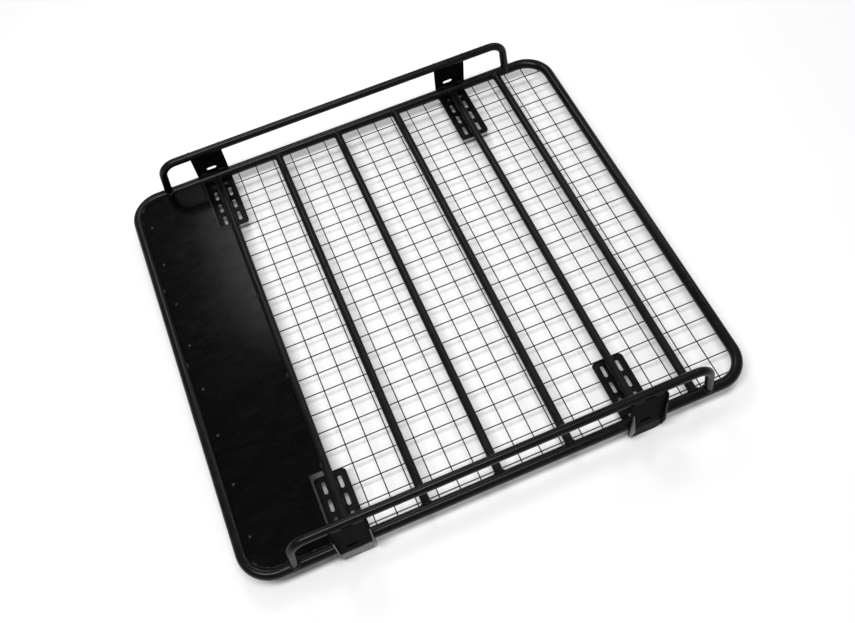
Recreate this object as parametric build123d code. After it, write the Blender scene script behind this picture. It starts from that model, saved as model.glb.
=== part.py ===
from build123d import *
import os
from math import sqrt, sin, cos, tan, radians, atan2, degrees, hypot

# Roof cargo basket for a four-wheel-drive vehicle: a low welded-steel tray with
# a bent perimeter tube, six crossbars, a welded wire deck, a sheet panel over
# the leading bay, a bent rail along each side and four foot plates.
#
# Millimetres. +X points to the rear of the vehicle (the sheet panel is at -X),
# +Y to its left, +Z up. The origin is on the ground plane that the four leg
# plates stand on, in the centre of the perimeter tube's outline.

os.makedirs("parts", exist_ok=True)

# ------------------------------------------------------------ driving dimensions
LENGTH = 1250.0            # over the perimeter tube, along X
WIDTH = 1150.0             # over the perimeter tube, along Y
FRAME_D, FRAME_WALL = 26.9, 2.0      # perimeter tube, 3/4 in nominal pipe
BAR_D, BAR_WALL = 21.3, 2.0          # crossbars and rails, 1/2 in nominal pipe
CORNER_R = 70.0            # centreline radius of the perimeter's corners
ZC = 50.0                  # height of the perimeter tube's centre plane

BAR_X = (-372.0, -193.0, -16.0, 159.0, 336.0, 473.0)

WIRE_D = 2.8               # deck wire
LONG_Y0, LONG_PITCH, LONG_N = 522.7, 50.45, 22
CROSS_X0, CROSS_PITCH, CROSS_N = -312.5, 50.85, 18

RAIL_TOP = 114.0           # rail centre above the perimeter tube's centre
RAIL_Y_FOOT, RAIL_Y_TOP = 561.0, 555.5
RAIL_X_FRONT, RAIL_X_REAR = -509.0, 506.0
RAIL_SPLAY = 6.0           # degrees, foot outward
RAIL_BEND_R = 42.0         # centreline radius

PLATE_X = (BAR_X[0], BAR_X[4])       # the base plates sit under these bars
PLATE_W, PLATE_T = 80.0, 4.0
PLATE_Y_IN, PLATE_Y_OUT, PLATE_R = 386.0, 575.0, 9.0
SLOT_L, SLOT_W = 32.0, 9.0
SLOT_DX = 20.0
SLOT_Y = (415.0, 460.0, 505.0)
HOLE_D, HOLE_DX, HOLE_Y = 11.0, 16.5, 539.5

LEG_X = {("front", "left"): -376.0, ("front", "right"): -370.0,
         ("rear", "left"): 339.0, ("rear", "right"): 338.0}
LEG_W, LEG_T = 88.0, 3.0
LEG_TOP = 113.0            # top edge above the perimeter tube's centre
LEG_R = 26.0               # lower corners
LEG_FLANGE_TOP = 4.2       # side flanges, depth outward at the top edge
LEG_FLANGE_Y, LEG_FLANGE_Z = 590.5, 12.0   # their deepest point, above the tube's centre
LEG_DRAFT = 0.25           # side flanges close in by this much per mm outward
LEG_SLOT_X = {"front": -376.0, "rear": 332.0}
LEG_SLOT_Z, LEG_SLOT_L, LEG_SLOT_W = 24.0, 28.0, 12.0

PANEL_T, PANEL_TOP = 2.0, 7.5        # sheet thickness, top above the centre plane
PANEL_GAP_R = 57.0         # panel's corner radius about the perimeter's corner centre
PANEL_X_REAR = -381.9
NOTCH_X, NOTCH_Y = -410.0, 382.0
RIVET_X, RIVET_PITCH, RIVET_N = -581.0, 132.0, 8
RIVET_HEAD_D, RIVET_HEAD_H, RIVET_SHANK_D, RIVET_HOLE_D = 8.6, 1.9, 4.8, 5.0
STIFF_X0, STIFF_X1, STIFF_T, STIFF_Y = -593.0, -569.0, 2.0, 500.0

# ------------------------------------------------------------ derived
FR, BR, WR = FRAME_D / 2, BAR_D / 2, WIRE_D / 2
HX, HY = LENGTH / 2 - FR, WIDTH / 2 - FR           # perimeter centreline
CX, CY = HX - CORNER_R, HY - CORNER_R              # corner centres
BAR_BOTTOM = ZC - BR
LONG_Z = BAR_BOTTOM - WR                           # wires hang right under the bars
CROSS_Z = LONG_Z - WIRE_D                          # and rest on the cross wires
PLATE_TOP = ZC - FR


def save(name, shape):
    shape.label = name
    export_step(shape, f"parts/{name}.step")


def group(items):
    return Compound(children=list(items))


def rod(p0, p1, radius):
    """Solid round bar between two points."""
    a, b = Vector(*p0), Vector(*p1)
    d = b - a
    plane = Plane(origin=a, z_dir=d.normalized())
    return extrude(plane * Circle(radius), amount=d.length)


def swept(path, radius):
    start = Plane(origin=path @ 0, z_dir=path % 0)
    return sweep(start * Circle(radius), path=path)


def one(shape):
    """The single solid of a boolean result."""
    solids = shape.solids()
    assert len(solids) == 1, f"expected one solid, got {len(solids)}"
    return solids[0]


# ------------------------------------------------------------ perimeter frame
def hoop_path(sx):
    """One end of the perimeter with both its corners; sx is -1 or +1."""
    c = cos(radians(45)) * CORNER_R
    a = (sx * CX, -HY, ZC)
    b = (sx * HX, -CY, ZC)
    m1 = (sx * (CX + c), -(CY + c), ZC)
    d = (sx * HX, CY, ZC)
    e = (sx * CX, HY, ZC)
    m2 = (sx * (CX + c), CY + c, ZC)
    return Wire([
        Edge.make_three_point_arc(a, m1, b),
        Edge.make_line(b, d),
        Edge.make_three_point_arc(d, m2, e),
    ])


hoop_outer = {sx: one(swept(hoop_path(sx), FR)) for sx in (-1, 1)}
for sx, name in ((-1, "front_hoop_tube"), (1, "rear_hoop_tube")):
    save(name, one(hoop_outer[sx] - swept(hoop_path(sx), FR - FRAME_WALL)))

side_outer = {sy: rod((-CX, sy * HY, ZC), (CX, sy * HY, ZC), FR) for sy in (-1, 1)}
for sy, name in ((1, "left_side_tube"), (-1, "right_side_tube")):
    bore = rod((-CX, sy * HY, ZC), (CX, sy * HY, ZC), FR - FRAME_WALL)
    save(name, one(side_outer[sy] - bore))

# ------------------------------------------------------------ crossbars, coped to the side tubes
for i, x in enumerate(BAR_X, 1):
    bar = rod((x, -HY, ZC), (x, HY, ZC), BR) - rod((x, -HY, ZC), (x, HY, ZC), BR - BAR_WALL)
    save(f"crossbar_{i}", one(bar - side_outer[1] - side_outer[-1]))

# ------------------------------------------------------------ side rails
rail_len = hypot(RAIL_Y_FOOT - RAIL_Y_TOP, RAIL_TOP)
rail_u = ((RAIL_Y_TOP - RAIL_Y_FOOT) / rail_len, RAIL_TOP / rail_len)


def rail_point(x, t):
    """A point in the rail's leaning plane on the left side."""
    return (x, RAIL_Y_FOOT + t * rail_u[0], ZC + t * rail_u[1])


def rail_path():
    tt = rail_len * tan(radians(RAIL_SPLAY))
    kf, kr = RAIL_X_FRONT + tt, RAIL_X_REAR - tt
    turn = 90 - RAIL_SPLAY
    tan_len = RAIL_BEND_R * tan(radians(turn / 2))
    lx, lt = tan_len * cos(radians(turn)), tan_len * sin(radians(turn))
    ct = rail_len - RAIL_BEND_R
    mid = radians(90 + turn / 2)
    mx, mt = RAIL_BEND_R * cos(mid), RAIL_BEND_R * sin(mid)
    p = rail_point
    return Wire([
        Edge.make_line(p(RAIL_X_FRONT, 0), p(kf - lx, rail_len - lt)),
        Edge.make_three_point_arc(p(kf - lx, rail_len - lt),
                                  p(kf + tan_len + mx, ct + mt),
                                  p(kf + tan_len, rail_len)),
        Edge.make_line(p(kf + tan_len, rail_len), p(kr - tan_len, rail_len)),
        Edge.make_three_point_arc(p(kr - tan_len, rail_len),
                                  p(kr - tan_len - mx, ct + mt),
                                  p(kr + lx, rail_len - lt)),
        Edge.make_line(p(kr + lx, rail_len - lt), p(RAIL_X_REAR, 0)),
    ])


rail = swept(rail_path(), BR) - swept(rail_path(), BR - BAR_WALL) - side_outer[1]
rail = max(rail.solids(), key=lambda s: s.volume)
save("side_rail_left", rail)
save("side_rail_right", one(mirror(rail, Plane.XZ)))

# ------------------------------------------------------------ wire deck
in_plate = lambda y: abs(y) > PLATE_Y_IN
long_wires = []
for n in range(LONG_N):
    y = LONG_Y0 - n * LONG_PITCH
    if in_plate(y):
        spans = [(PLATE_X[0] + PLATE_W / 2 - 8, PLATE_X[1] - PLATE_W / 2 + 8),
                 (PLATE_X[1] + PLATE_W / 2 - 8, HX)]
    else:
        spans = [(BAR_X[0] - 5, HX)]
    for x0, x1 in spans:
        wire = rod((x0, y, LONG_Z), (x1, y, LONG_Z), WR)
        if x1 == HX:
            wire = wire - hoop_outer[1]
            wire = min(wire.solids(), key=lambda s: s.center().X)
        else:
            wire = one(wire)
        long_wires.append(wire)
save("mesh_lengthwise_wires", group(long_wires))

cross_wires = []
for k in range(CROSS_N):
    x = CROSS_X0 + k * CROSS_PITCH
    on_plate = any(abs(x - px) < PLATE_W / 2 + WR for px in PLATE_X)
    reach = PLATE_Y_IN if on_plate else HY + 1
    cross_wires.append(one(rod((x, -reach, CROSS_Z), (x, reach, CROSS_Z), WR)))
save("mesh_crosswise_wires", group(cross_wires))

# ------------------------------------------------------------ base plates
def base_plate(xc):
    """Plate under the left side tube, with two rows of three slots and two round holes."""
    y0, y1 = PLATE_Y_IN, PLATE_Y_OUT
    sk = Pos(xc, (y0 + y1) / 2) * Rectangle(PLATE_W, y1 - y0)
    inner = [v for v in sk.vertices() if abs(v.Y - y0) < 0.01]
    sk = fillet(inner, PLATE_R)
    for dx in (-SLOT_DX, SLOT_DX):
        for y in SLOT_Y:
            sk = sk - Pos(xc + dx, y) * SlotOverall(SLOT_L, SLOT_W, rotation=90)
    for dx in (-HOLE_DX, HOLE_DX):
        sk = sk - Pos(xc + dx, HOLE_Y) * Circle(HOLE_D / 2)
    return one(extrude(Pos(0, 0, PLATE_TOP) * sk, amount=-PLATE_T))


# ------------------------------------------------------------ leg plates
def asin_(v):
    return atan2(v, sqrt(1 - v * v))


def leg_plate(xc, slot_x):
    """Folded sheet outside the left side tube: upright below, leaning on the
    rail above, with a side flange turned outward along both edges. The flanges
    are shallow at the rail, deepest just above the tube and run out at the foot."""
    t = LEG_T
    y_in = HY + FR                                   # upright face on the tube
    # line tangent to the outside of both the perimeter tube and the rail
    dy, dz = HY - RAIL_Y_TOP, RAIL_TOP
    lean = atan2(dy, dz) + asin_((FR - BR) / hypot(dy, dz))
    # the two faces meet just above the tube's centre plane
    fold = FR * tan(lean / 2)
    y_top = y_in - (LEG_TOP - fold) * tan(lean)
    z0, zf, z1 = 0.0, ZC + fold, ZC + LEG_TOP
    out_fold = t * tan(lean / 2)                     # where the outer faces meet
    yo_top = y_top + t / cos(lean)

    def prism(points):
        sk = Plane.YZ * Polygon(*points, align=None)
        return extrude(Pos(xc, 0, 0) * sk, amount=LEG_W, both=True)

    def drafted(half):
        """Upright prism whose sides close in going outward."""
        y0, y1 = y_in - 60, y_in + 60
        w0, w1 = half + 60 * LEG_DRAFT, half - 60 * LEG_DRAFT
        sk = Polygon((xc - w0, y0), (xc + w0, y0), (xc + w1, y1), (xc - w1, y1), align=None)
        return extrude(Pos(0, 0, z0 - 20) * sk, amount=z1 + 80)

    def outline(w, zb, zt, rb, rt):
        sk = Pos(0, (zb + zt) / 2) * Rectangle(w, zt - zb)
        sk = fillet([v for v in sk.vertices() if v.Y < zb + 0.01], rb)
        sk = fillet([v for v in sk.vertices() if v.Y > zt - 0.01], rt)
        # XZ plane drawn with +X right and +Z up, extruded towards +Y
        return extrude(Plane(origin=(xc, y_in - 60, 0), x_dir=(1, 0, 0), z_dir=(0, -1, 0)) * sk,
                       amount=-140)

    body = outline(LEG_W, z0, z1, LEG_R, 2.0) & prism(
        [(y_in, z0 - 1), (y_in, zf), (y_top, z1), (y_top, z1 + 1), (yo_top + LEG_FLANGE_TOP, z1 + 1),
         (yo_top + LEG_FLANGE_TOP, z1), (LEG_FLANGE_Y, ZC + LEG_FLANGE_Z), (y_in + t, z0), (y_in + t, z0 - 1)])
    body = body & drafted(LEG_W / 2)
    hollow = drafted(LEG_W / 2 - t) & prism(
        [(y_in + t, z0 - 2), (y_in + t, zf + out_fold), (yo_top, z1), (yo_top - 3, z1 + 40),
         (y_in + 58, z1 + 40), (y_in + 58, z0 - 2)])
    body = one(body - hollow)
    slot = Plane(origin=(slot_x, y_in - 60, ZC + LEG_SLOT_Z), x_dir=(1, 0, 0), z_dir=(0, -1, 0)) \
        * SlotOverall(LEG_SLOT_L, LEG_SLOT_W)
    return one(body - extrude(slot, amount=-140))


for xc, end in zip(PLATE_X, ("front", "rear")):
    bp = base_plate(xc)
    save(f"base_plate_{end}_left", bp)
    save(f"base_plate_{end}_right", one(mirror(bp, Plane.XZ)))
    save(f"leg_plate_{end}_left", leg_plate(LEG_X[end, "left"], LEG_SLOT_X[end]))
    save(f"leg_plate_{end}_right", one(mirror(leg_plate(LEG_X[end, "right"], LEG_SLOT_X[end]), Plane.XZ)))

# ------------------------------------------------------------ front panel and its fixings
p_top = ZC + PANEL_TOP
p_bot = p_top - PANEL_T
px0 = -(CX + PANEL_GAP_R)
py1 = CY + PANEL_GAP_R
sk = Pos((px0 + PANEL_X_REAR) / 2, 0) * Rectangle(PANEL_X_REAR - px0, 2 * py1)
sk = fillet([v for v in sk.vertices() if v.X < px0 + 0.01], PANEL_GAP_R)
for sy in (-1, 1):
    depth = py1 - NOTCH_Y + 5
    sk = sk - Pos((NOTCH_X + PANEL_X_REAR + 5) / 2, sy * (NOTCH_Y + depth / 2)) \
        * Rectangle(PANEL_X_REAR + 5 - NOTCH_X, depth)
rivet_y = [(i - (RIVET_N - 1) / 2) * RIVET_PITCH for i in range(RIVET_N)]
for y in rivet_y:
    sk = sk - Pos(RIVET_X, y) * Circle(RIVET_HOLE_D / 2)
panel = one(extrude(Pos(0, 0, p_top) * sk, amount=-PANEL_T))
save("front_panel", panel)

strip = Pos((STIFF_X0 + STIFF_X1) / 2, 0) * Rectangle(STIFF_X1 - STIFF_X0, 2 * STIFF_Y)
for y in rivet_y:
    strip = strip - Pos(RIVET_X, y) * Circle(RIVET_HOLE_D / 2)
save("panel_stiffener", one(extrude(Pos(0, 0, p_bot) * strip, amount=-STIFF_T)))


def rivet(y):
    """Domed head on the panel, shank through both sheets, upset tail below."""
    a, h = RIVET_HEAD_D / 2, RIVET_HEAD_H
    rs = (a * a + h * h) / (2 * h)
    cap = (Pos(RIVET_X, y, p_top + h - rs) * Sphere(rs)) & (
        Pos(RIVET_X, y, p_top + 5) * Box(20, 20, 10))
    low = p_bot - STIFF_T
    shank = rod((RIVET_X, y, low - 0.5), (RIVET_X, y, p_top + 0.5), RIVET_SHANK_D / 2)
    tail = rod((RIVET_X, y, low - 1.6), (RIVET_X, y, low), 3.6)
    return one(cap + shank + tail)


save("panel_rivets", group(rivet(y) for y in rivet_y))


def tack(centre, direction, length, radius):
    """Weld bead: a round-ended rod laid in the crevice between sheet and tube."""
    c, d = Vector(*centre), Vector(*direction).normalized()
    a, b = c - d * (length / 2), c + d * (length / 2)
    bead = rod(tuple(a), tuple(b), radius) + Pos(*a) * Sphere(radius) + Pos(*b) * Sphere(radius)
    return bead


bar1 = rod((BAR_X[0], -HY, ZC), (BAR_X[0], HY, ZC), BR)
tacks = []
for y, length in ((12.0, 9.0), (248.0, 9.0)):
    bead = tack((px0 - 1.0, y, p_top + 0.2), (0, 1, 0), length, 3.2) - hoop_outer[-1] - panel
    tacks.append(max(bead.solids(), key=lambda s: s.volume))
for sy in (-1, 1):
    ang = atan2(33.5, sqrt(PANEL_GAP_R ** 2 - 33.5 ** 2))
    r = PANEL_GAP_R + 1.0
    at = (-(CX + r * cos(ang)), sy * (CY + r * sin(ang)), p_top + 0.2)
    bead = tack(at, (sin(ang), sy * cos(ang), 0), 9.0, 3.2) - hoop_outer[-1] - panel
    tacks.append(max(bead.solids(), key=lambda s: s.volume))
for y in (-370.0, -118.0, 130.0, 375.0):
    bead = tack((PANEL_X_REAR + 1.0, y, p_top - 0.1), (0, 1, 0), 9.0, 3.2) - bar1 - panel
    tacks.append(max(bead.solids(), key=lambda s: s.volume))
save("panel_tack_welds", group(tacks))
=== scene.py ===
import math

import bmesh
import bpy
import numpy as np
from mathutils import Matrix, Vector


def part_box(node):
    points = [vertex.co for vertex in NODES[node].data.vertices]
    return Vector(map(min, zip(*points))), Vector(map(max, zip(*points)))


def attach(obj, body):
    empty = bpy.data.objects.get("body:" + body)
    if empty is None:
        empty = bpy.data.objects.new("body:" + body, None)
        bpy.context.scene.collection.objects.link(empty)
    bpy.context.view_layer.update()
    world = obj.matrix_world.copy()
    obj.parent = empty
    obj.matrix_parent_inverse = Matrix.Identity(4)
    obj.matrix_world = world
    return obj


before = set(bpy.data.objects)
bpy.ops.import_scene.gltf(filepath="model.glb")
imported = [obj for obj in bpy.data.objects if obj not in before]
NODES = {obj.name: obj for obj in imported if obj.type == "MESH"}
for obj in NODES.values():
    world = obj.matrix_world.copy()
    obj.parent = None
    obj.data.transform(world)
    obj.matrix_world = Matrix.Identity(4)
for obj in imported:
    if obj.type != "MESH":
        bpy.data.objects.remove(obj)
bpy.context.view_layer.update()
MM = 0.001

# ------------------------------------------------------------------ sizes, all read from the parts in model.glb
def size(node):
    lo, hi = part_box(node)
    return lo, hi


lo_l, hi_l = size("left_side_tube")
FR = (hi_l.z - lo_l.z) / 2                    # perimeter tube radius
ZC = (hi_l.z + lo_l.z) / 2                    # its centre height
HY = (hi_l.y + lo_l.y) / 2                    # its centre line
BARS = []
for i in range(1, 7):
    lo, hi = size(f"crossbar_{i}")
    BARS.append(((lo.x + hi.x) / 2, (hi.x - lo.x) / 2))
BR = BARS[0][1]
HX = size("rear_hoop_tube")[1].x - FR
RAIL_LO, RAIL_HI = size("side_rail_left")
RAIL_TOP = RAIL_HI.z - BR


# ------------------------------------------------------------------ material helpers
class Tree:
    def __init__(self, name):
        self.mat = bpy.data.materials.new(name)
        self.mat.use_nodes = True
        self.nt = self.mat.node_tree
        self.nt.nodes.clear()
        self.out = self.nt.nodes.new("ShaderNodeOutputMaterial")
        self.bsdf = self.nt.nodes.new("ShaderNodeBsdfPrincipled")
        self.nt.links.new(self.bsdf.outputs[0], self.out.inputs["Surface"])
        self.coord = self.nt.nodes.new("ShaderNodeTexCoord").outputs["Object"]

    def link(self, a, b):
        self.nt.links.new(a, b)

    def stretch(self, scale):
        m = self.nt.nodes.new("ShaderNodeMapping")
        m.inputs["Scale"].default_value = scale
        self.link(self.coord, m.inputs["Vector"])
        return m.outputs["Vector"]

    def noise(self, scale, detail=3.0, rough=0.5, vector=None, distortion=0.0):
        n = self.nt.nodes.new("ShaderNodeTexNoise")
        n.inputs["Scale"].default_value = scale
        n.inputs["Detail"].default_value = detail
        n.inputs["Roughness"].default_value = rough
        n.inputs["Distortion"].default_value = distortion
        self.link(vector or self.coord, n.inputs["Vector"])
        return n.outputs["Fac"]

    def voronoi(self, scale, vector=None, feature="F1"):
        n = self.nt.nodes.new("ShaderNodeTexVoronoi")
        n.feature = feature
        n.inputs["Scale"].default_value = scale
        self.link(vector or self.coord, n.inputs["Vector"])
        return n.outputs["Distance"]

    def ramp(self, fac, stops):
        r = self.nt.nodes.new("ShaderNodeValToRGB")
        els = r.color_ramp.elements
        while len(els) < len(stops):
            els.new(0.5)
        for e, (pos, v) in zip(els, stops):
            e.position = pos
            e.color = (v, v, v, 1) if not isinstance(v, tuple) else (*v, 1)
        self.link(fac, r.inputs["Fac"])
        return r.outputs["Color"]

    def math(self, op, a, b=None, clamp=False):
        m = self.nt.nodes.new("ShaderNodeMath")
        m.operation = op
        m.use_clamp = clamp
        for sock, v in zip(m.inputs, (a, b)):
            if v is None:
                continue
            if isinstance(v, (int, float)):
                sock.default_value = v
            else:
                self.link(v, sock)
        return m.outputs[0]

    def mix(self, fac, a, b):
        m = self.nt.nodes.new("ShaderNodeMix")
        m.data_type = "RGBA"
        if isinstance(fac, (int, float)):
            m.inputs["Factor"].default_value = fac
        else:
            self.link(fac, m.inputs["Factor"])
        for key, v in (("A", a), ("B", b)):
            sock = [s for s in m.inputs if s.name == key and s.type == "RGBA"][0]
            if isinstance(v, tuple):
                sock.default_value = (*v, 1)
            else:
                self.link(v, sock)
        return [s for s in m.outputs if s.type == "RGBA"][0]

    def remap(self, v, a0, a1, b0, b1):
        m = self.nt.nodes.new("ShaderNodeMapRange")
        for key, x in (("From Min", a0), ("From Max", a1), ("To Min", b0), ("To Max", b1)):
            m.inputs[key].default_value = x
        self.link(v, m.inputs["Value"])
        return m.outputs["Result"]

    def bump(self, layers):
        """layers: (height output, strength, distance in metres), chained."""
        last = None
        for h, strength, dist in layers:
            b = self.nt.nodes.new("ShaderNodeBump")
            b.inputs["Strength"].default_value = strength
            b.inputs["Distance"].default_value = dist
            self.link(h, b.inputs["Height"])
            if last is not None:
                self.link(last, b.inputs["Normal"])
            last = b.outputs["Normal"]
        self.link(last, self.bsdf.inputs["Normal"])


def powder(name, dark, light, rough, peel_scale=420.0, peel=0.05, scuff=0.5, spec=0.5):
    """Satin black powder coat: orange peel, uneven sheen, dust film and small scuffs."""
    t = Tree(name)
    peel_n = t.noise(peel_scale, 2.0, 0.55)
    wide = t.noise(7.0, 4.0, 0.6)
    dust = t.noise(55.0, 5.0, 0.65)
    speck = t.voronoi(260.0)
    # base: two blacks clouded together, with a faint dust film on top
    base = t.mix(t.remap(wide, 0.35, 0.65, 0.0, 1.0), dark, light)
    film = t.remap(dust, 0.56, 0.78, 0.0, 0.35)
    base = t.mix(film, base, tuple(min(1.0, c * 2.6 + 0.004) for c in light))
    # scuffs: thin streaks where straps and tools rubbed
    streak = t.noise(34.0, 6.0, 0.7, t.stretch((1.0, 6.0, 6.0)), 0.4)
    mask = t.remap(streak, 0.67, 0.74, 0.0, scuff)
    base = t.mix(mask, base, tuple(min(1.0, c * 4.0 + 0.010) for c in light))
    # a few pin-point specks in the coat
    pin = t.remap(speck, 0.0, 0.10, 0.5, 0.0)
    base = t.mix(pin, base, tuple(min(1.0, c * 2.0 + 0.006) for c in light))
    t.link(base, t.bsdf.inputs["Base Color"])
    r = t.math("ADD", t.remap(wide, 0.3, 0.7, rough - 0.05, rough + 0.06),
               t.remap(dust, 0.45, 0.8, 0.0, 0.14))
    t.link(t.math("ADD", r, t.math("MULTIPLY", mask, 0.2), True), t.bsdf.inputs["Roughness"])
    t.bsdf.inputs["Specular IOR Level"].default_value = spec
    t.bump([(wide, 0.10, 0.0006), (peel_n, peel, 0.0006)])
    return t.mat


def leg_coat(name):
    """Black coat on the pressed leg plates: dull on the face; low down and on the flanges glossier and painted a
    lighter grey as a painted highlight, strongest on the front plates.
    """
    t = Tree(name)
    peel_n = t.noise(380.0, 2.0, 0.55)
    wide = t.noise(12.0, 4.0, 0.6)
    dust = t.noise(60.0, 5.0, 0.65)
    sep = t.nt.nodes.new("ShaderNodeSeparateXYZ")
    t.link(t.coord, sep.inputs[0])
    side = t.math("ABSOLUTE", sep.outputs["Y"])
    # 1 below the tube, 0 above, with an uneven edge
    low = t.math("ADD", sep.outputs["Z"], t.remap(wide, 0.3, 0.7, -0.004, 0.004))
    low = t.remap(low, ZC - 0.012, ZC - 0.002, 1.0, 0.0)
    # 1 on the flanges, which stand outside of the sheet's face
    out = t.remap(side, HY + FR + 0.0034, HY + FR + 0.0050, 0.0, 1.0)
    # painted highlight masks: on the flanges fading to 0.4 past X 0.36, and low down kept on the front plates, fading
    # to 0.08 on the rear ones
    out = t.math("MULTIPLY", out, t.remap(sep.outputs["X"], 0.33, 0.36, 1.0, 0.40))
    low = t.math("MULTIPLY", low, t.remap(sep.outputs["X"], -0.15, 0.15, 1.0, 0.08))
    # sheen: where the coat is glossier and where the painted highlight lies
    sheen = t.math("MAXIMUM", low, out)
    dark, light = (0.0030, 0.0030, 0.0031), (0.0052, 0.0051, 0.0050)
    base = t.mix(t.remap(wide, 0.35, 0.65, 0.0, 1.0), dark, light)
    base = t.mix(t.remap(dust, 0.55, 0.78, 0.0, 0.35), base, (0.013, 0.013, 0.0135))
    # painted highlight: the low band and the flanges take a lighter grey (0.05) in place of the black
    base = t.mix(t.math("MULTIPLY", sheen, 0.8), base, (0.050, 0.050, 0.051))
    t.link(base, t.bsdf.inputs["Base Color"])
    t.link(t.math("ADD", t.remap(sheen, 0.0, 1.0, 0.60, 0.26), t.remap(dust, 0.4, 0.8, 0.0, 0.10), True),
           t.bsdf.inputs["Roughness"])
    t.link(t.remap(sheen, 0.0, 1.0, 0.02, 0.60), t.bsdf.inputs["Specular IOR Level"])
    t.bump([(wide, 0.10, 0.0006), (peel_n, 0.06, 0.0006)])
    return t.mat


def gloss_panel(name):
    """Gloss black sheet: slow waves of thin sheet metal, handling smears, dust and hairline scratches,
    and a painted highlight, a lighter strip along the cut edge of its two cut-outs, weaker on the far one."""
    t = Tree(name)
    sep = t.nt.nodes.new("ShaderNodeSeparateXYZ")
    t.link(t.coord, sep.inputs[0])
    ragged = t.math("ADD", sep.outputs["X"], t.remap(t.noise(45.0, 3.0, 0.6), 0.3, 0.7, -0.0008, 0.0008))
    # painted highlight: a lighter strip along the ragged cut edge of the two cut-outs beside the base plates, weaker
    # (0.3) on the far side at positive Y
    painted_edge_highlight = t.math("MULTIPLY", t.remap(ragged, -0.4158, -0.4140, 0.0, 1.0),
                   t.remap(t.math("ABSOLUTE", sep.outputs["Y"]), 0.380, 0.386, 0.0, 1.0))
    painted_edge_highlight = t.math("MULTIPLY", painted_edge_highlight, t.remap(sep.outputs["Y"], -0.1, 0.1, 1.0, 0.30))
    waves = t.noise(3.2, 1.5, 0.4)
    quilt = t.noise(11.0, 2.0, 0.5)
    peel = t.noise(300.0, 2.0, 0.5)
    smear = t.noise(9.0, 6.0, 0.7, t.stretch((1.0, 2.6, 1.0)), 1.2)
    dust = t.noise(150.0, 5.0, 0.7)
    hair = t.noise(60.0, 3.0, 0.5, t.stretch((0.6, 14.0, 1.0)), 0.2)
    cloud = t.remap(smear, 0.42, 0.68, 0.0, 1.0)
    base = t.mix(cloud, (0.0009, 0.0009, 0.0009), (0.0022, 0.0021, 0.0020))
    base = t.mix(t.remap(dust, 0.62, 0.80, 0.0, 0.5), base, (0.016, 0.016, 0.016))
    base = t.mix(t.remap(hair, 0.70, 0.76, 0.0, 0.25), base, (0.014, 0.014, 0.0145))
    # painted highlight colour on the cut-edge strip
    base = t.mix(painted_edge_highlight, base, (0.036, 0.036, 0.037))
    t.link(base, t.bsdf.inputs["Base Color"])
    r = t.math("ADD", t.remap(smear, 0.35, 0.75, 0.13, 0.24), t.remap(dust, 0.5, 0.8, 0.0, 0.10))
    t.link(t.math("ADD", r, t.remap(hair, 0.68, 0.76, 0.0, 0.10), True), t.bsdf.inputs["Roughness"])
    t.bsdf.inputs["Specular IOR Level"].default_value = 0.085
    t.bump([(waves, 0.22, 0.010), (quilt, 0.10, 0.002), (peel, 0.02, 0.0005)])
    return t.mat


def weld_metal(name):
    """Coated weld bead: the same black, a little rougher, with spatter."""
    t = Tree(name)
    ripple = t.noise(520.0, 3.0, 0.6)
    lump = t.noise(160.0, 2.0, 0.5)
    base = t.mix(t.remap(lump, 0.35, 0.7, 0.0, 1.0), (0.0030, 0.0030, 0.0032), (0.0075, 0.0075, 0.0078))
    t.link(base, t.bsdf.inputs["Base Color"])
    t.link(t.remap(ripple, 0.3, 0.7, 0.30, 0.52), t.bsdf.inputs["Roughness"])
    t.bsdf.inputs["Specular IOR Level"].default_value = 0.26
    t.bump([(lump, 0.35, 0.0008), (ripple, 0.18, 0.0004)])
    return t.mat


def floor_paper(name):
    """White seamless paper: a faint fibre grain and slow tone changes."""
    t = Tree(name)
    fibre = t.noise(240.0, 4.0, 0.6)
    slow = t.noise(0.9, 3.0, 0.5)
    base = t.mix(t.remap(slow, 0.3, 0.7, 0.0, 1.0), (0.90, 0.90, 0.905), (0.93, 0.93, 0.93))
    base = t.mix(t.remap(fibre, 0.4, 0.7, 0.0, 0.2), base, (0.87, 0.87, 0.87))
    t.link(base, t.bsdf.inputs["Base Color"])
    t.link(t.remap(fibre, 0.3, 0.7, 0.78, 0.92), t.bsdf.inputs["Roughness"])
    t.bsdf.inputs["Specular IOR Level"].default_value = 0.2
    t.bump([(fibre, 0.08, 0.0004)])
    return t.mat


M_TUBE = powder("tube_powder_coat", (0.0020, 0.0020, 0.0022), (0.0036, 0.0036, 0.0038), 0.25, 420.0, 0.05, 0.5, 0.17)
M_BAR = powder("bar_powder_coat", (0.0022, 0.0022, 0.0024), (0.0040, 0.0040, 0.0042), 0.30, 460.0, 0.06, 0.6, 0.17)
M_WIRE = powder("wire_powder_coat", (0.0030, 0.0030, 0.0032), (0.0050, 0.0050, 0.0052), 0.36, 900.0, 0.05, 0.3, 0.17)
M_PLATE = powder("plate_powder_coat", (0.0014, 0.0014, 0.0015), (0.0030, 0.0030, 0.0032), 0.36, 380.0, 0.07, 0.6, 0.09)
M_LEG = leg_coat("leg_plate_coat")
M_RIVET = powder("rivet_coat", (0.0060, 0.0060, 0.0062), (0.0105, 0.0105, 0.0110), 0.34, 900.0, 0.05, 0.2, 0.30)
M_PANEL = gloss_panel("panel_gloss_black")
M_WELD = weld_metal("weld_bead_black")


def paint(node, mat):
    o = NODES[node]
    if not o.material_slots:
        o.data.materials.append(mat)
    for s in o.material_slots:
        s.material = mat


for n in NODES:
    if n.startswith("crossbar"):
        paint(n, M_BAR)
    elif n.startswith("mesh"):
        paint(n, M_WIRE)
    elif n.startswith("base_plate"):
        paint(n, M_PLATE)
    elif n.startswith("leg_plate"):
        paint(n, M_LEG)
    elif n in ("front_panel", "panel_stiffener"):
        paint(n, M_PANEL)
    elif n == "panel_rivets":
        paint(n, M_RIVET)
    elif n == "panel_tack_welds":
        paint(n, M_WELD)
    else:
        paint(n, M_TUBE)


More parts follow.
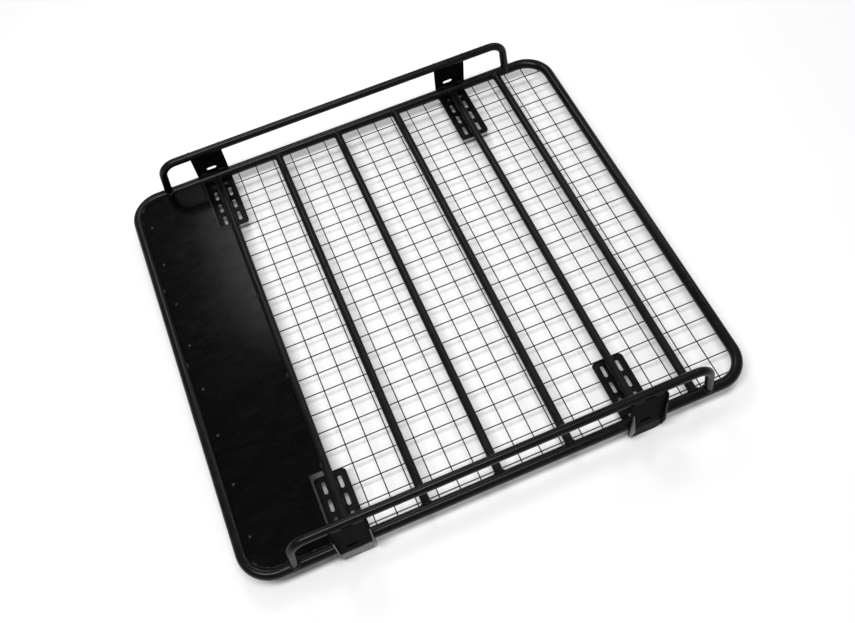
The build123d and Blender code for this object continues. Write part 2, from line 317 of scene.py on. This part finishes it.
# ------------------------------------------------------------------ weld beads
def frames(points, closed):
    """Tangent and two normals at each point, carried along without twist."""
    n = len(points)
    tans = []
    for i in range(n):
        a = points[(i - 1) % n] if closed or i else points[0]
        b = points[(i + 1) % n] if closed or i < n - 1 else points[-1]
        tans.append((b - a).normalized())
    up = Vector((0, 0, 1)) if abs(tans[0].z) < 0.9 else Vector((1, 0, 0))
    side = tans[0].cross(up).normalized()
    out = []
    for t in tans:
        side = (side - t * side.dot(t)).normalized()
        out.append((t, side, t.cross(side)))
    return out


def bead(verts, faces, points, radius, closed, seed, ripple=0.16, pitch=0.0021, ring=8):
    """Adds a rippled weld bead along the points to verts and faces."""
    rng = np.random.default_rng(seed)
    dist = [0.0]
    for a, b in zip(points, points[1:]):
        dist.append(dist[-1] + (b - a).length)
    total = dist[-1] + ((points[0] - points[-1]).length if closed else 0.0)
    phase = rng.uniform(0, math.tau)
    waves = max(3, round(total / pitch))
    wander = rng.uniform(-1, 1, 4)
    base = len(verts)
    fr = frames(points, closed)
    for i, (p, (t, s, u)) in enumerate(zip(points, fr)):
        f = dist[i] / total
        saw = abs(math.sin(math.pi * waves * f + phase))
        r = radius * (1 - ripple * 0.5 + ripple * saw)
        r *= 1 + 0.08 * math.sin(math.tau * 2 * f + wander[0] * 3) + 0.06 * math.sin(math.tau * 5 * f + wander[1] * 3)
        if not closed:
            r *= min(1.0, math.sqrt(max(0.0, min(f, 1 - f)) * total / radius) * 0.75 + 0.12)
        for k in range(ring):
            a = math.tau * k / ring
            verts.append(p + s * (math.cos(a) * r) + u * (math.sin(a) * r))
    n = len(points)
    last = n if closed else n - 1
    for i in range(last):
        j = (i + 1) % n
        for k in range(ring):
            l = (k + 1) % ring
            faces.append((base + i * ring + k, base + i * ring + l, base + j * ring + l, base + j * ring + k))
    if not closed:
        faces.append(tuple(base + k for k in range(ring - 1, -1, -1)))
        faces.append(tuple(base + (n - 1) * ring + k for k in range(ring)))


def blob(verts, faces, centre, radii, seed, seg=8, rings=5):
    """A small uneven lump of weld metal."""
    rng = np.random.default_rng(seed)
    k1, k2 = rng.uniform(0, math.tau, 2)
    base = len(verts)
    c = Vector(centre)
    verts.append(c + Vector((0, 0, radii[2])))
    for i in range(1, rings):
        th = math.pi * i / rings
        for k in range(seg):
            ph = math.tau * k / seg
            w = 1 + 0.10 * math.sin(2 * ph + k1) + 0.07 * math.sin(3 * ph + k2)
            verts.append(c + Vector((radii[0] * w * math.sin(th) * math.cos(ph),
                                     radii[1] * w * math.sin(th) * math.sin(ph),
                                     radii[2] * math.cos(th))))
    verts.append(c - Vector((0, 0, radii[2])))
    end = len(verts) - 1
    for k in range(seg):
        faces.append((base, base + 1 + k, base + 1 + (k + 1) % seg))
        faces.append((end, end - seg + (k + 1) % seg, end - seg + k))
    for i in range(rings - 2):
        for k in range(seg):
            a, b = base + 1 + i * seg + k, base + 1 + i * seg + (k + 1) % seg
            faces.append((a, a + seg, b + seg, b))


def make(name, verts, faces, mat):
    me = bpy.data.meshes.new(name)
    me.from_pydata([tuple(v) for v in verts], [], faces)
    me.validate()
    bm = bmesh.new()
    bm.from_mesh(me)
    bmesh.ops.recalc_face_normals(bm, faces=bm.faces)
    bm.to_mesh(me)
    bm.free()
    me.polygons.foreach_set("use_smooth", [True] * len(me.polygons))
    me.materials.append(mat)
    o = bpy.data.objects.new(name, me)
    bpy.context.scene.collection.objects.link(o)
    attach(o, "root")
    return o


def line(a, b, step=0.0007):
    a, b = Vector(a), Vector(b)
    n = max(6, int((b - a).length / step))
    return [a.lerp(b, i / n) for i in range(n + 1)]


# crossbar ends: a ring of weld round each cope
v, f = [], []
for bi, (xb, r) in enumerate(BARS):
    for sy in (-1, 1):
        ring = []
        n = 96
        for k in range(n):
            a = math.tau * k / n
            x, z = r * math.cos(a), r * math.sin(a)
            y = HY - math.sqrt(FR * FR - z * z)
            # push the bead's centre out into the corner between the two tubes
            ring.append(Vector((xb + x * 1.07, sy * (y - 0.0006), ZC + z * 1.07)))
        bead(v, f, ring, 0.0022, True, 100 + bi * 2 + (sy > 0))
make("weld_crossbar_ends", v, f, M_WELD)

# rail feet: ring where each leg lands on the side tube
v, f = [], []
for sy in (-1, 1):
    for xf, sgn in ((RAIL_LO.x, 1), (RAIL_HI.x, -1)):
        splay, lean = math.radians(6.0), math.atan2(0.0055, 0.114)
        d = Vector((sgn * math.sin(splay), -math.sin(lean) * math.cos(splay), math.cos(splay) * math.cos(lean))).normalized()
        foot = Vector((xf + sgn * 0.0107, HY - 0.0005, ZC))
        # the leg's widest point is just above its cope: move the axis so that its outline matches the rail's box
        e1 = d.cross(Vector((0, 1, 0))).normalized()
        e2 = d.cross(e1).normalized()
        ring = []
        for k in range(96):
            a = math.tau * k / 96
            p = foot + (e1 * math.cos(a) + e2 * math.sin(a)) * (BR * 1.06)
            # walk up the leg to the tube's surface
            A = d.y * d.y + d.z * d.z
            B = 2 * ((p.y - HY) * d.y + (p.z - ZC) * d.z)
            C = (p.y - HY) ** 2 + (p.z - ZC) ** 2 - FR * FR
            s = (-B + math.sqrt(max(0.0, B * B - 4 * A * C))) / (2 * A)
            q = p + d * (s + 0.0005)
            ring.append(Vector((q.x, q.y * sy, q.z)))
        bead(v, f, ring, 0.0023, True, 200 + (sy > 0) * 2 + (sgn > 0))
make("weld_rail_feet", v, f, M_WELD)

# leg plates: along the rail at the top edge, and in both crevices against the side tube
v, f = [], []
seed = 300
for end in ("front", "rear"):
    for side, sy in (("left", 1), ("right", -1)):
        lo, hi = size(f"leg_plate_{end}_{side}")
        xc = (lo.x + hi.x) / 2
        inner_top = (lo.y if sy > 0 else -hi.y)
        xb = BARS[0][0] if end == "front" else BARS[4][0]
        for x0, x1 in ((-0.038, -0.012), (0.012, 0.038)):
            seed += 1
            bead(v, f, line((xc + x0, sy * (inner_top + 0.0006), RAIL_TOP + 0.0004),
                            (xc + x1, sy * (inner_top + 0.0006), RAIL_TOP + 0.0004)), 0.0021, False, seed)
        for dz, dy in ((0.0098, 0.0013), (-0.0098, 0.0013)):
            for x0, x1 in ((-0.036, -0.014), (0.014, 0.036)):
                seed += 1
                bead(v, f, line((xc + x0, sy * (HY + FR - dy - 0.0012), ZC + dz),
                                (xc + x1, sy * (HY + FR - dy - 0.0012), ZC + dz)), 0.0021, False, seed)
        # base plate: to the side tube, to the crossbar and to the leg plate
        blo, bhi = size(f"base_plate_{end}_{side}")
        ptop, pbot = bhi.z, blo.z
        for x0, x1 in ((-0.037, -0.0235), (-0.0095, 0.0095), (0.0235, 0.037)):
            seed += 1
            bead(v, f, line((xb + x0, sy * (HY - 0.0085), ptop + 0.0013),
                            (xb + x1, sy * (HY - 0.0085), ptop + 0.0013)), 0.0018, False, seed)
        for y0 in (0.388, 0.434, 0.479, 0.523):
            for dx in (-0.0062, 0.0062):
                seed += 1
                bead(v, f, line((xb + dx, sy * y0, ptop + 0.0012), (xb + dx, sy * (y0 + 0.012), ptop + 0.0012)),
                     0.0016, False, seed)
        seed += 1
        bead(v, f, line((xb - 0.034, sy * (HY + FR - 0.0006), pbot), (xb + 0.034, sy * (HY + FR - 0.0006), pbot)),
             0.0018, False, seed)
make("weld_plates", v, f, M_WELD)

# deck wires: spot welds at the crossings, under the bars and at the tubes
wlo, whi = size("mesh_lengthwise_wires")
clo, chi = size("mesh_crosswise_wires")
WR = (whi.z - wlo.z) / 2
LZ, CZ = (whi.z + wlo.z) / 2, (chi.z + clo.z) / 2
LY = [whi.y - WR - i * (whi.y - wlo.y - 2 * WR) / 21 for i in range(22)]
CXS = [clo.x + WR + i * (chi.x - clo.x - 2 * WR) / 17 for i in range(18)]
v, f = [], []
seed = 900
PX = [(size(f"base_plate_{e}_left")[0].x, size(f"base_plate_{e}_left")[1].x) for e in ("front", "rear")]
PY = size("base_plate_front_left")[0].y
for y in LY:
    for x in CXS:
        if abs(y) > PY and any(a - WR < x < b + WR for a, b in PX):
            continue
        seed += 1
        blob(v, f, (x, y, (LZ + CZ) / 2), (0.0023, 0.0023, 0.0011), seed, 8, 4)
    for xb, r in BARS:
        if abs(y) > PY and any(a - WR < xb < b + WR for a, b in PX):
            continue
        seed += 1
        blob(v, f, (xb, y, ZC - BR + 0.0001), (0.0040, 0.0028, 0.0012), seed, 8, 4)
for x in CXS:
    if any(a - WR < x < b + WR for a, b in PX):
        continue
    for sy in (-1, 1):
        seed += 1
        blob(v, f, (x, sy * HY, ZC - FR - 0.0002), (0.0026, 0.0042, 0.0012), seed, 8, 4)
cx, cy = HX - 0.070, HY - 0.070
for y in LY:
    dy = abs(y) - cy
    xe = HX if dy <= 0 else cx + math.sqrt(0.070 ** 2 - dy * dy)
    seed += 1
    blob(v, f, (xe - 0.0088, y, LZ + 0.0006), (0.0034, 0.0026, 0.0018), seed, 8, 5)
make("weld_wire_spots", v, f, M_WELD)

# ------------------------------------------------------------------ floor, light, camera
def plane(name, w, d, z, mat):
    me = bpy.data.meshes.new(name)
    me.from_pydata([(-w, -d, z), (w, -d, z), (w, d, z), (-w, d, z)], [], [(0, 1, 2, 3)])
    me.materials.append(mat)
    o = bpy.data.objects.new(name, me)
    bpy.context.scene.collection.objects.link(o)
    return o


plane("studio_floor", 8.0, 8.0, 0.0, floor_paper("floor_paper"))

world = bpy.data.worlds.new("studio") if not bpy.context.scene.world else bpy.context.scene.world
bpy.context.scene.world = world
world.use_nodes = True
bg = world.node_tree.nodes.get("Background") or world.node_tree.nodes.new("ShaderNodeBackground")
bg.inputs["Color"].default_value = (1.0, 1.0, 1.0, 1)
bg.inputs["Strength"].default_value = 0.33


def area(name, loc, target, w, h, power, along=None):
    """Rectangular light facing its target, its long side level, or along a given axis."""
    ld = bpy.data.lights.new(name, "AREA")
    ld.shape = "RECTANGLE"
    ld.size, ld.size_y = w, h
    ld.energy = power
    o = bpy.data.objects.new(name, ld)
    bpy.context.scene.collection.objects.link(o)
    o.location = loc
    d = (Vector(target) - Vector(loc)).normalized()
    if along is None:
        o.rotation_euler = d.to_track_quat("-Z", "Y").to_euler()
    else:
        ax = Vector(along)
        ax = (ax - d * ax.dot(d)).normalized()
        o.rotation_euler = Matrix((ax, (-d).cross(ax), -d)).transposed().to_euler()
    return o


# a long soft box beside the camera and above the tray, low fill from the far side
area("key_overhead", (-0.95, -0.88, 4.75), (0, 0, 0), 3.95, 1.1, 189, (1, 0, 0))
area("strip_far_left", (-0.05, 2.0, 2.5), (-0.1, 0, 0), 1.1, 0.8, 17)
area("strip_far_right", (2.35, 1.6, 2.8), (0, 0, 0), 1.0, 0.9, 15)

cam_data = bpy.data.cameras.new("camera")
cam_data.sensor_width = 36.0
cam_data.lens = 39.89
cam = bpy.data.objects.new("camera", cam_data)
bpy.context.scene.collection.objects.link(cam)
right = Vector((0.922033, -0.377470, -0.085858))
up = Vector((0.367287, 0.782961, 0.502068))
back = Vector((-0.122292, -0.494458, 0.860556))
loc = Vector((-0.2921, -1.2561, 2.026 + ZC))
m = Matrix.Identity(4)
for i, c in enumerate((right, up, back, loc)):
    for j in range(3):
        m[j][i] = c[j]
cam.matrix_world = m
bpy.context.scene.camera = cam
bpy.context.scene.view_settings.view_transform = "Standard"
